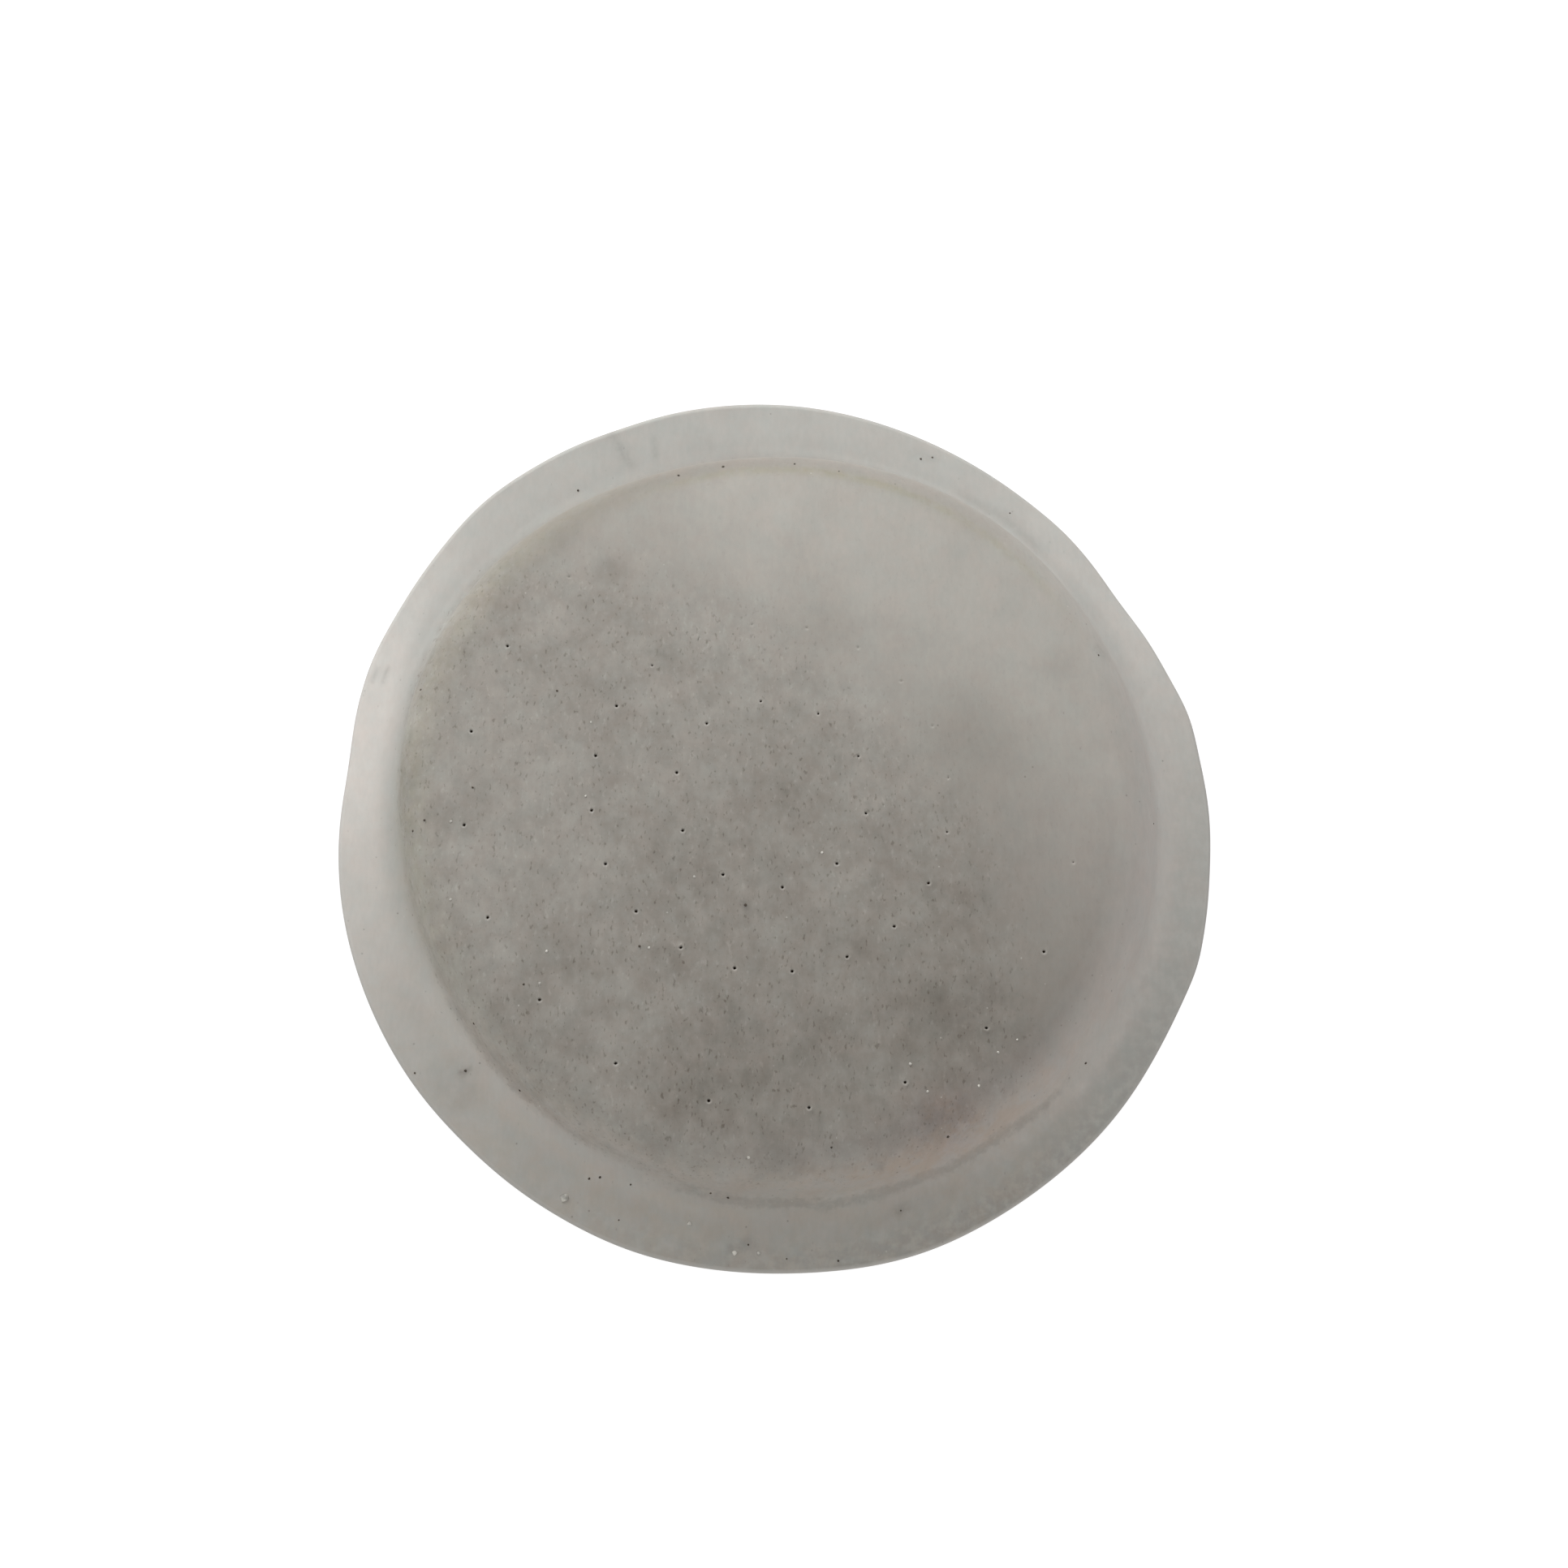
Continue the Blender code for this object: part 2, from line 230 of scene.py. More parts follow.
# The camera that took the photo: its place, its turn in degrees, and the width of its sensor.
CAMERA_PLACE = (-10.42, -37.57, 146.98)
CAMERA_TURN = (15.27, -4.27, 0.39)
SENSOR_WIDTH = 36


def length_setting(name, description, default, low, high):
    """A setting for a length. Its default and its limits are given in mm."""
    return FloatProperty(
        name=name, description=description, default=default * MM, min=low * MM, max=high * MM,
        unit="LENGTH", precision=6)


def colour_setting(name, description, default):
    return FloatVectorProperty(
        name=name, description=description, default=default, subtype="COLOR", min=0, max=1)


def count_setting(name, description, default, low=20, high=125):
    return IntProperty(name=name, description=description, default=default, min=low, max=high)


def level_setting(name, description, default, subtype="NONE"):
    return FloatProperty(name=name, description=description, default=default, min=0, subtype=subtype)


class PodSizes(bpy.types.PropertyGroup):
    """The shapes of the two sheets and of the bed between them."""

    bulge_diameter: length_setting("Bulge diameter", "Across the foot of the formed side", 60.6, 40, 80)
    flange_width: length_setting("Flange width", "From the foot of the bulge to the cut rim", 4.7, 2, 8)
    face_height: length_setting(
        "Face height", "Height of the needled face over the face that the pod lies on",
        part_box("formed_filter_paper")[1].z / MM, 4, 15)
    seam_height: length_setting("Seam height", "Height of the seal between the two sheets", 2.0, 1, 4)
    paper_thickness: length_setting("Paper thickness", "Thickness of one sheet", 0.12, 0.05, 0.3)
    seam_gap: length_setting("Seam gap", "Gap that stands for the seal between the sheets", 0.03, 0, 0.1)
    coffee_clearance: length_setting(
        "Coffee clearance", "Gap between the grounds and the paper", 0.1, 0.02, 0.5)
    wall_lean: length_setting("Wall lean", "How far the wall leans in over its height", 1.0, 0, 3)
    shoulder_radius: length_setting(
        "Shoulder radius", "Rounding between the needled face and the wall", 3.0, 1, 4)
    foot_radius: length_setting("Foot radius", "Rounding between the wall and the seal", 1.6, 0.2, 2)
    underside_slope_width: length_setting(
        "Underside slope width", "From the face that the pod lies on out to the foot", 3.3, 1, 8)
    underside_edge_radius: length_setting(
        "Underside edge radius", "Rounding of the face that the pod lies on", 6.0, 1, 10)
    needle_diameter: length_setting("Needle diameter", "Width of an open needle hole", 0.4, 0.1, 1)
    needle_shift: FloatVectorProperty(
        name="Needle shift", description="How far the needle pattern sits off the middle of the pod",
        default=(-1.16 * MM, -0.08 * MM), size=2, subtype="XYZ", unit="LENGTH", precision=5)
    first_spoke: FloatProperty(
        name="First spoke", description="Direction of the first spoke of needle holes",
        default=math.radians(6.9), subtype="ANGLE")
    spokes: count_setting("Spokes", "Needle holes in each of the two outer rings", 20, 8, 40)
    sheet_rings: count_setting("Sheet rings", "Rings of the mesh of the formed sheet", 120)
    underside_rings: count_setting("Underside rings", "Rings of the mesh of the flat sheet", 96)
    bed_rings: count_setting("Bed rings", "Rings of the mesh on each side of the coffee bed", 110)


class PaperLook(bpy.types.PropertyGroup):
    """Colours of the filter paper."""

    sealed: colour_setting(
        "Sealed paper", "Two sheets pressed together, with nothing behind", (0.438, 0.427, 0.402))
    # Painted light: the colour towards which the seal and the foot are painted where light falls brightest on
    # them.
    pressed: colour_setting("Pressed paper", "The palest, warmest part of the seal", (0.606, 0.573, 0.540))
    lifted: colour_setting("Lifted paper", "Paper that stands clear of the coffee", (0.420, 0.399, 0.367))
    backed: colour_setting(
        "Backed paper", "Paper pressed on the coffee, which shows through", (0.102, 0.084, 0.065))
    stain: colour_setting("Stain", "Olive tint that coffee oil leaves round the foot", (0.915, 0.915, 0.80))
    blush: colour_setting("Blush", "Warm tint of the paper at the lower right", (1.0, 0.925, 0.855))
    rose: colour_setting("Rose", "Faint pink tint of the paper at the right", (1.0, 0.955, 0.985))
    # Painted light: a pale colour for the fuzzy cut edge, given in full on its lower side, which faces away
    # from the lamps.
    lit_cut_edge: colour_setting("Cut edge", "Fuzzy cut edge of the two sheets", (0.62, 0.60, 0.57))
    grain: colour_setting("Dark grain", "Coffee dust in the paper", (0.075, 0.06, 0.045))
    nep: colour_setting("Pale nep", "Small knots of clean fibre", (0.60, 0.58, 0.53))


class CoffeeLook(bpy.types.PropertyGroup):
    """Colours of the ground coffee."""

    dark: colour_setting("Dark grounds", "The darker of the roasted grains", (0.012, 0.007, 0.004))
    light: colour_setting("Light grounds", "The paler of the roasted grains", (0.07, 0.038, 0.02))


class StageSetup(bpy.types.PropertyGroup):
    """Lamps, floor and camera."""

    key_power: level_setting("Key power", "Strength of the wide softbox behind the pod", 0.59, "POWER")
    fill_power: level_setting("Fill power", "Strength of the softbox at the front", 0.22, "POWER")
    world_level: level_setting("World level", "Strength of the even light from all round", 0.36)
    floor_level: level_setting("Floor level", "Strength of the light that the floor sends back", 0.72)
    key_colour: colour_setting("Key colour", "Colour of the key lamp", (1, 1, 1))
    fill_colour: colour_setting("Fill colour", "Colour of the fill lamp", (1, 0.965, 0.91))
    floor_size: FloatProperty(
        name="Floor size", description="Side of the square floor", default=2.0, min=0.2, unit="LENGTH")
    lens: FloatProperty(
        name="Lens", description="Focal length of the camera in millimetres", default=43.31, min=10)


def smooth_step(low, high, value):
    share = min(max((value - low) / (high - low), 0), 1)
    return share * share * (3 - 2 * share)


def bell(distance, width):
    return math.exp(-(distance / width) ** 2)


def angle_between(first, second):
    """The shorter way round between two directions in degrees."""
    return math.degrees(math.remainder(math.radians(first - second), 2 * math.pi))


def facing(degrees, direction, width):
    """1 in this direction, falling off to both sides with this half width."""
    return bell(angle_between(degrees, direction), width)


def lobed(lobes, angle):
    """Sum of even waves round the pod, in metres."""
    return MM * sum(
        size * math.cos(count * (angle - math.radians(direction))) for count, size, direction in lobes)


def arc_at(before, corner, after, radius, steps):
    """Points of a fillet between two straight runs, no longer than the runs can hold."""
    back, ahead = before - corner, after - corner
    half_angle = back.angle(ahead) / 2
    tangent = min(radius / math.tan(half_angle), 0.48 * back.length, 0.48 * ahead.length)
    radius = tangent * math.tan(half_angle)
    back.normalize()
    ahead.normalize()
    centre = corner + (back + ahead).normalized() * radius / math.sin(half_angle)
    start, end = corner + back * tangent - centre, corner + ahead * tangent - centre
    first = math.atan2(start.y, start.x)
    turn = math.remainder(math.atan2(end.y, end.x) - first, 2 * math.pi)
    angles = (first + turn * step / steps for step in range(steps + 1))
    return [centre + Vector((math.cos(a), math.sin(a))) * radius for a in angles]


def evenly(points, count):
    """The same path again as count even steps."""
    lengths = [0]
    for before, after in zip(points, points[1:]):
        lengths.append(lengths[-1] + (after - before).length)
    spread, run = [], 0
    for step in range(count + 1):
        goal = lengths[-1] * step / count
        while run < len(points) - 2 and lengths[run + 1] < goal:
            run += 1
        share = (goal - lengths[run]) / (lengths[run + 1] - lengths[run])
        spread.append(points[run].lerp(points[run + 1], min(share, 1)))
    return spread


def sheet_path(sizes, face_edge, edge_radius, seam_z, count):
    """A sheet's inner profile from the middle to the rim, as even steps of radius and height."""
    foot = Vector((foot_radius(sizes), seam_z))
    rim = Vector((rim_radius(sizes), seam_z))
    middle = Vector((0, face_edge.y))
    edge = arc_at(middle, face_edge, foot, edge_radius, 24)
    fillet = arc_at(face_edge, foot, rim, sizes.foot_radius, 12)
    return evenly([middle, *edge, *fillet, rim], count)


def foot_radius(sizes):
    return sizes.bulge_diameter / 2 - sizes.paper_thickness


def rim_radius(sizes):
    return sizes.bulge_diameter / 2 + sizes.flange_width


def spun(sizes, path):
    """A mesh of even triangles that follows the path from the middle out, with each point's ring and angle.

    It starts as a six-sided fan that is cut into a ring for each step of the path.
    """
    mesh = bmesh.new()
    sixth = math.pi / 3
    rings = len(path) - 1
    bmesh.ops.create_circle(
        mesh, cap_ends=True, cap_tris=True, segments=6, radius=1, matrix=Matrix.Rotation(sixth / 2, 4, "Z"))
    bmesh.ops.subdivide_edges(mesh, edges=mesh.edges, cuts=rings - 1, use_grid_fill=True)
    turned = {}
    for vert in mesh.verts:
        point = vert.co.xy
        turn = math.atan2(point.y, point.x) % (2 * math.pi)
        sector = min(int(turn / sixth + 1e-6), 5)
        start, end = (
            Vector((math.cos(side * sixth), math.sin(side * sixth))) for side in (sector, sector + 1))
        area = start.x * end.y - start.y * end.x
        ahead = (start.x * point.y - start.y * point.x) / area
        back = (point.x * end.y - point.y * end.x) / area
        ring = round((ahead + back) * rings)
        angle = sixth * (sector + ahead / (ahead + back)) if ring else 0
        turned[vert] = (ring, angle)
        vert.co = placed(sizes, path[ring], angle)
    return mesh, turned


def bells(entries, degrees):
    """Sum of soft bumps round the pod, each with its direction, half width and size."""
    return sum(size * facing(degrees, direction, width) for direction, width, size in entries)


def rings(table, radius, degrees):
    """Sum of soft rings round the pod, each with its radius, half width, and strength by direction."""
    return sum(bell(radius - middle, width) * bells(rows, degrees) for middle, width, rows in table)


def spots(table, point):
    """Sum of soft round spots, each with its place, half width and strength."""
    place = point.xy / MM
    return sum(size * bell(math.hypot(place.x - x, place.y - y), wide) for x, y, wide, size in table)


def seal_lift(sizes, share, degrees):
    """Rise of the seal over its plane, from the foot at 0 to the rim at 1, with the sealing tool's line."""
    bends = sum(
        size * share ** late * facing(degrees, direction, width)
        for direction, width, size, late in SEAL_BENDS)
    along = share * sizes.flange_width / MM
    ridge = bell(along - 1.5, 0.7) - bell(along - 0.5, 0.35)
    return MM * (bends + bells(PRESSED, degrees) * ridge * smooth_step(0, 0.1, share))


def placed(sizes, point, angle):
    """A profile point turned to its angle and moved by the waves of the foot, the rim and the seal."""
    foot, rim = foot_radius(sizes), rim_radius(sizes)
    degrees = math.degrees(angle)
    share = max(0, (point.x - foot) / (rim - foot))
    ease = smooth_step(0, 1, share)
    outward = smooth_step(0.6, 1, point.x / foot) * (1 - ease) * lobed(FOOT_LOBES, angle)
    rise = smooth_step(0, 1, (point.y - sizes.seam_height) / (sizes.face_height - sizes.seam_height))
    outward -= smooth_step(0.8, 0.92, point.x / foot) * rise * MM * bells(SLACK_WALL, degrees)
    radius = point.x + outward + ease * (lobed(RIM_LOBES, angle) + MM * bells(RIM_CORNERS, degrees))
    sag = MM * (EVEN_SAG + bells(FACE_SAG, degrees)) * (point.x / (NEEDLED_SHARE * foot)) ** SAG_POWER
    height = point.y - rise * sag + (seal_lift(sizes, share, degrees) if share else 0)
    return Vector((radius * math.cos(angle), radius * math.sin(angle), height))


def face_relief(sizes, point, radius, degrees):
    """Slight unevenness of the paper over the bed: soft waves, and folds near the shoulder."""
    inside = sizes.bulge_diameter / 2 - radius
    broad = noise.noise(Vector((point.x, point.y, 0)) / (9 * MM))
    fine = noise.noise(Vector((point.x, point.y, 3)) / (2.4 * MM))
    waves = smooth_step(1.5 * MM, 6 * MM, inside) * (0.06 * broad + 0.01 * fine)
    return MM * (waves + bells(FACE_FOLDS, degrees) * bell(inside - 5 * MM, 3.5 * MM))


def polar(point):
    """Radius in mm and direction in degrees, from 0 to 360, of a place on the pod."""
    return point.xy.length / MM, math.degrees(math.atan2(point.y, point.x)) % 360


def upper_side(degrees):
    """1 where the grounds lie against the wall up to the seal, from the right over the top to the left."""
    return smooth_step(30, 62, degrees) - smooth_step(156, 194, degrees)


def bed_edge(degrees):
    """How far out the grounds lie behind the paper, in mm."""
    return BED_RADIUS + UPPER_REACH * upper_side(degrees) + bells(BED_REACH, degrees)


def cover_at(point):
    """Falls from 1 to 0 over the edge of the grounds, sharply at the lower left and softly at the right."""
    radius, degrees = polar(point)
    return 0.5 + (bed_edge(degrees) - radius) / (2 * (EDGE_SOFTNESS + bells(SOFT_EDGES, degrees)))


def contact_at(point):
    """How closely the paper lies on the coffee at a place, from 0 for clear of it to 1 for pressed on it."""
    radius, degrees = polar(point)
    along = (point.xy / MM).dot(THIN_SIDE)
    face = 0.03 + 0.64 * smooth_step(0, THIN_RUN, THIN_RUN - along) + spots(BED_PATCHES, point)
    upper = max(upper_side(degrees), facing(degrees, 180, 16))
    fading = 0.35 - 0.3 * facing(degrees, 140, 18)
    wall = bells(WALL_CONTACT, degrees) * (1 - fading * smooth_step(28.3, 30.4, radius))
    above = face + (wall - face) * smooth_step(26.0, 28.3, radius)
    loss = 1 - 0.24 * facing(degrees, 229, 34)
    below = face * (1 - loss * smooth_step(25.5, CLEAR_RADIUS + bells(CLEAR_REACH, degrees), radius))
    return below + (above - below) * upper


def grain_at(point):
    """How plainly the grounds show: not at the upper right, where the paper stands clear of them."""
    away = (point.xy / MM - GRAINY_PLACE).length
    return 1 - spots(SPARSE_SPOTS, point) - 0.8 * smooth_step(*GRAINY_REACH, away)


def dust_at(point):
    """Loose coffee dust behind the paper, thickest along the lower edge of the bed."""
    radius, degrees = polar(point)
    inside = bed_edge(degrees) - radius
    line = 0.9 * facing(degrees, 229, 38) * bell(inside - 0.4, 0.7)
    return (1 - upper_side(degrees)) * (bell(inside - 1.0, 1.8) + line)


def stain_at(point):
    """Olive and brown tint of coffee oil along the foot."""
    return rings(STAIN_RINGS, *polar(point))


def blush_at(point):
    """Warm tint of the clear wall at the lower right and of a patch by it, fainter on the seal below."""
    radius, degrees = polar(point)
    seal = bells(BLUSH_SEAL, degrees) * smooth_step(*BLUSH_START, radius)
    return rings(BLUSH_RINGS, radius, degrees) + seal + spots(BLUSH_SPOTS, point)


def rose_at(point):
    """Faint pink of the paper at the right, and of one patch at the lower right."""
    return rings(ROSE_RINGS, *polar(point)) + spots(ROSE_SPOTS, point)


def smudge_and_shade_at(point):
    """Grey smudges; painted shade along creases and on the seal at the bottom and lower right."""
    radius, degrees = polar(point)
    # Painted shade: the seal darkens towards its rim at the bottom, and near the foot at the lower right.
    total = 0.19 * facing(degrees, 288, 48) * smooth_step(32.2, 35, radius)
    total += 0.09 * facing(degrees, 328, 42) * smooth_step(30.0, 32.0, radius)
    # Grey smudges, and painted shade along creases.
    for start_x, start_y, end_x, end_y, wide, size in SMUDGES_AND_CREASE_SHADE:
        start = Vector((start_x, start_y))
        run = Vector((end_x, end_y)) - start
        offset = point.xy / MM - start
        share = min(max(offset.dot(run) / run.length_squared, 0), 1)
        total += size * bell((offset - run * share).length, wide)
    return total


def groove_shade_at(point):
    """Painted shade: a grey line in the hollow that the sealing tool left round the lower foot."""
    radius, degrees = polar(point)
    line = 30.55 + 0.12 * math.cos(math.radians(9 * degrees))
    line += 0.08 * math.cos(math.radians(23 * degrees + 40))
    return bell(radius - line, 0.55) * (smooth_step(240, 266, degrees) - smooth_step(306, 326, degrees))


def pale_and_lit_at(point):
    """Painted light: paler, warmer paper where light falls brighter, at the left, along the lower foot, on
    the ridge and at the right up to its rim. Along the lower foot it is partly paler paper that stands clear
    of the grounds.
    """
    radius, degrees = polar(point)
    wide = 1.35 + 0.55 * facing(degrees, 345, 45)
    foot = bells(FOOT_PALE_AND_LIT, degrees) * bell(radius - 30.1, wide)
    ridge = bells(RIDGE_PAINTED_LIGHT, degrees) * bell(radius - 31.6, 0.65)
    start = 30.3 + 1.6 * facing(degrees, 148, 14)
    left = bells(LEFT_PAINTED_LIGHT, degrees) * smooth_step(start, start + 2, radius)
    right = 0.48 * facing(degrees, 28, 24) * smooth_step(30.8, 32.4, radius)
    return min(foot + ridge + left + right, 1)


# What is painted on the points of a sheet, for its material.
PAINTED = {
    "contact": contact_at, "cover": cover_at, "grain": grain_at, "dust": dust_at, "pale": pale_and_lit_at,
    "stain": stain_at, "blush": blush_at, "rose": rose_at, "smudge_and_shade": smudge_and_shade_at, "groove_shade": groove_shade_at,
}


def add_attribute(obj, name, values):
    layer = obj.data.attributes.new(name, "FLOAT", "POINT")
    layer.data.foreach_set("value", values)


def add_object(name, mesh, material):
    """An object at the origin, made from a bmesh and shaded smooth."""
    data = bpy.data.meshes.new(name)
    mesh.to_mesh(data)
    mesh.free()
    data.shade_smooth()
    data.materials.append(material)
    obj = bpy.data.objects.new(name, data)
    bpy.context.scene.collection.objects.link(obj)
    return obj


def hand_over(obj, node):
    """The piece stands for a CAD node and rides where it rides."""
    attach(obj, "root")
    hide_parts(node)


def needle_holes(sizes):
    """Place and openness of each needle hole. Those where the paper stands clear of the bed have closed."""
    for radius, spokes, closed, oval, shift in NEEDLE_RINGS:
        for spoke in range(sizes.spokes)[spokes]:
            angle = sizes.first_spoke + 2 * math.pi * spoke / sizes.spokes
            reach = radius + oval * math.cos(2 * (angle - math.radians(OVAL_DIRECTION)))
            offset = Vector((math.cos(angle), math.sin(angle))) * reach + Vector(shift)
            away = abs(angle_between(math.degrees(angle), CLEAR_DIRECTION))
            openness = 1 - closed * (1 - smooth_step(45, 95, away))
            if openness > LEAST_OPENNESS:
                yield Vector(sizes.needle_shift) + offset * MM, openness


def open_rim(items):
    """The edges among these that bound a hole."""
    return [item for item in items if isinstance(item, bmesh.types.BMEdge) and item.is_boundary]


def ring_round(edges, holes, radius, drop):
    """Moves the loops of these edges onto circles round the needle holes, and returns how open each is."""
    loop = {vert: 0 for edge in edges for vert in edge.verts}
    for vert in loop:
        centre, level, openness = min(holes, key=lambda hole: (hole[0] - vert.co.xy).length_squared)
        out = (vert.co.xy - centre).normalized() * radius(openness)
        vert.co = (centre.x + out.x, centre.y + out.y, level - drop * openness)
        loop[vert] = openness
    return loop


def pierce(mesh, sizes):
    """Opens the needle holes in the face: each has a soft raised lip that turns down into the paper."""
    mesh.verts.ensure_lookup_table()
    tree = KDTree(len(mesh.verts))
    for vert in mesh.verts:
        tree.insert(vert.co, vert.index)
    tree.balance()
    face = mesh.verts[0].co.z
    holes, middles = [], []
    for centre, openness in needle_holes(sizes):
        middle = mesh.verts[tree.find((*centre, face))[1]]
        middles.append(middle)
        holes.append((centre, middle.co.z, openness))
    around = {edge for middle in middles for face in middle.link_faces for edge in face.edges}
    around -= {edge for middle in middles for edge in middle.link_edges}
    bmesh.ops.delete(mesh, geom=middles, context="VERTS")
    cut = bmesh.ops.subdivide_edges(mesh, edges=[edge for edge in mesh.edges if edge in around], cuts=1)
    rim = open_rim(cut["geom_split"])
    ring_round(rim, holes, lambda openness: LIP_REACH * MM, -LIP_RISE * MM)
    half = sizes.needle_diameter / 2
    lips = {}
    for radius, drop in ((LIP_CREST * half, -LIP_RISE * MM), (half, LIP_DROP * MM)):
        rim = open_rim(bmesh.ops.extrude_edge_only(mesh, edges=rim)["geom"])
        lips |= ring_round(rim, holes, lambda openness, radius=radius: openness * radius, drop)
    return lips


def feed(tree, node, inputs):
    """Gives a node its inputs, by place or by name, as sockets to link or as plain values."""
    for key, value in inputs.items() if isinstance(inputs, dict) else enumerate(inputs):
        if isinstance(value, bpy.types.NodeSocket):
            tree.links.new(value, node.inputs[key])
        else:
            node.inputs[key].default_value = value


def add_node(tree, kind, inputs=(), **settings):
    """A shader node with these inputs and settings."""
    node = tree.nodes.new(kind)
    for name, value in settings.items():
        setattr(node, name, value)
    feed(tree, node, inputs)
    return node


def maths(tree, operation, *values):
    return add_node(tree, "ShaderNodeMath", values, operation=operation).outputs[0]


def remap(tree, value, low, high, start=0.0, end=1.0, smooth=True):
    node = add_node(
        tree, "ShaderNodeMapRange", (value, low, high, start, end),
        interpolation_type="SMOOTHSTEP" if smooth else "LINEAR")
    return node.outputs[0]


def blend(tree, factor, first, second, mode="MIX"):
    """Two colours mixed. Each is a socket, or red, green and blue as plain values."""
    first, second = (
        colour if isinstance(colour, bpy.types.NodeSocket) else (*colour, 1) for colour in (first, second))
    node = add_node(
        tree, "ShaderNodeMix", {0: factor, 6: first, 7: second}, data_type="RGBA", blend_type=mode)
    return node.outputs[2]


def tinted(tree, factor, colour, tint):
    return blend(tree, factor, colour, tint, mode="MULTIPLY")


def toned(tree, colour, tone):
    return add_node(tree, "ShaderNodeVectorMath", {0: colour, 3: tone}, operation="SCALE").outputs[0]


def stretched(tree, vector, factors):
    return add_node(tree, "ShaderNodeVectorMath", (vector, factors), operation="MULTIPLY").outputs[0]


def cloud(tree, vector, size, detail=2.0, roughness=0.5, stretch=(1, 1, 1)):
    """Noise between 0 and 1 whose features have about this size in metres."""
    if stretch != (1, 1, 1):
        vector = stretched(tree, vector, stretch)
    node = add_node(
        tree, "ShaderNodeTexNoise",
        {"Vector": vector, "Scale": 1 / size, "Detail": detail, "Roughness": roughness})
    return node.outputs[0]


def cells(tree, vector, scale):
    """Scattered cells: the distance from the middle of each, and a lot between 0 and 1 that it draws."""
    node = add_node(tree, "ShaderNodeTexVoronoi", {"Vector": vector, "Scale": scale})
    lot = add_node(tree, "ShaderNodeSeparateColor", (node.outputs["Color"],)).outputs[0]
    return node.outputs["Distance"], lot


def bump(tree, height, strength, depth):
    node = add_node(tree, "ShaderNodeBump", {"Height": height, "Strength": strength, "Distance": depth})
    return node.outputs[0]


def painted(tree, name):
    """A value painted on the points of the sheet."""
    return add_node(tree, "ShaderNodeAttribute", attribute_name=name).outputs["Fac"]


def new_group(name, inputs, outputs):
    """An empty node group that turns a vector and numbers into other numbers, its inputs and its end."""
    tree = bpy.data.node_groups.new(name, "ShaderNodeTree")
    tree.interface.new_socket("Vector", in_out="INPUT", socket_type="NodeSocketVector")
    for way, labels in (("INPUT", inputs), ("OUTPUT", outputs)):
        for label in labels:
            tree.interface.new_socket(label, in_out=way, socket_type="NodeSocketFloat")
    return tree, tree.nodes.new("NodeGroupInput").outputs, tree.nodes.new("NodeGroupOutput")


def paper_fibres(name):
    """Fibre formation of filter paper: soft clouds, a fine grain along Y, and the height of both."""
    tree, given, end = new_group(name, (), ("Clouds", "Grain", "Height"))
    clouds = cloud(tree, given["Vector"], 3.2 * MM, 3, 0.55)
    grain = cloud(tree, given["Vector"], 0.42 * MM, 3, 0.6, stretch=(1, 0.4, 1))
    crossed = cloud(tree, given["Vector"], 0.3 * MM, 2, 0.6, stretch=(0.35, 1, 1))
    height = maths(tree, "MULTIPLY_ADD", crossed, 0.5, grain)
    feed(tree, end, (clouds, grain, height))
    return tree


def grounds_behind(name):
    """Coffee seen through the paper, as mottle and dashes along Y, out to the crumbly edge of the bed."""
    tree, given, end = new_group(name, ("Contact", "Cover", "Strength", "Dust"), ("Shade", "Crumble"))
    vector = given["Vector"]
    patches = remap(tree, cloud(tree, vector, 4.2 * MM, 3, 0.6), 0.3, 0.7, -0.10, 0.10)
    mottle = cloud(tree, vector, 1.1 * MM, 4, 0.65, stretch=(1, 0.75, 1))
    mottle = remap(tree, mottle, 0.25, 0.75, -0.13, 0.13)
    dashes = cloud(tree, vector, 0.25 * MM, 2, 0.5, stretch=(1, 0.5, 1))
    dashes = remap(tree, dashes, 0.60, 0.74, 0, 0.42)
    gaps = cloud(tree, vector, 0.32 * MM, 2, 0.5, stretch=(1, 0.5, 1))
    gaps = remap(tree, gaps, 0.26, 0.40, -0.18, 0)
    uneven = maths(tree, "ADD", maths(tree, "ADD", patches, mottle), maths(tree, "ADD", dashes, gaps))
    shade = maths(tree, "MULTIPLY_ADD", uneven, given["Strength"], given["Contact"])
    crumble = remap(tree, cloud(tree, vector, 0.75 * MM, 4, 0.7), 0.25, 0.75, -0.5, 0.5, smooth=False)
    rough = maths(tree, "MULTIPLY", crumble, given["Dust"])
    edge = remap(tree, maths(tree, "ADD", rough, given["Cover"]), 0.2, 0.8)
    shade = maths(tree, "MULTIPLY", maths(tree, "MAXIMUM", shade, 0.0), edge)
    feed(tree, end, (maths(tree, "MULTIPLY", shade, SHOW_THROUGH), crumble))
    return tree


def specks(name):
    """Small scattered specks: a cell of the pattern holds one if its lot is below the share."""
    tree, given, end = new_group(name, ("Spacing", "Size", "Share"), ("Mask",))
    distance, lot = cells(tree, given["Vector"], maths(tree, "DIVIDE", 1.0, given["Spacing"]))
    chosen = maths(tree, "LESS_THAN", lot, given["Share"])
    reach = maths(tree, "DIVIDE", given["Size"], given["Spacing"])
    feed(tree, end, (maths(tree, "MULTIPLY", chosen, remap(tree, distance, 0.0, reach, 1.0, 0.0)),))
    return tree


def placed_group(tree, name, make, inputs):
    """A node of a group that the papers share. The group is made where it is first used."""
    group = bpy.data.node_groups.get(name) or make(name)
    return add_node(tree, "ShaderNodeGroup", inputs, node_tree=group).outputs


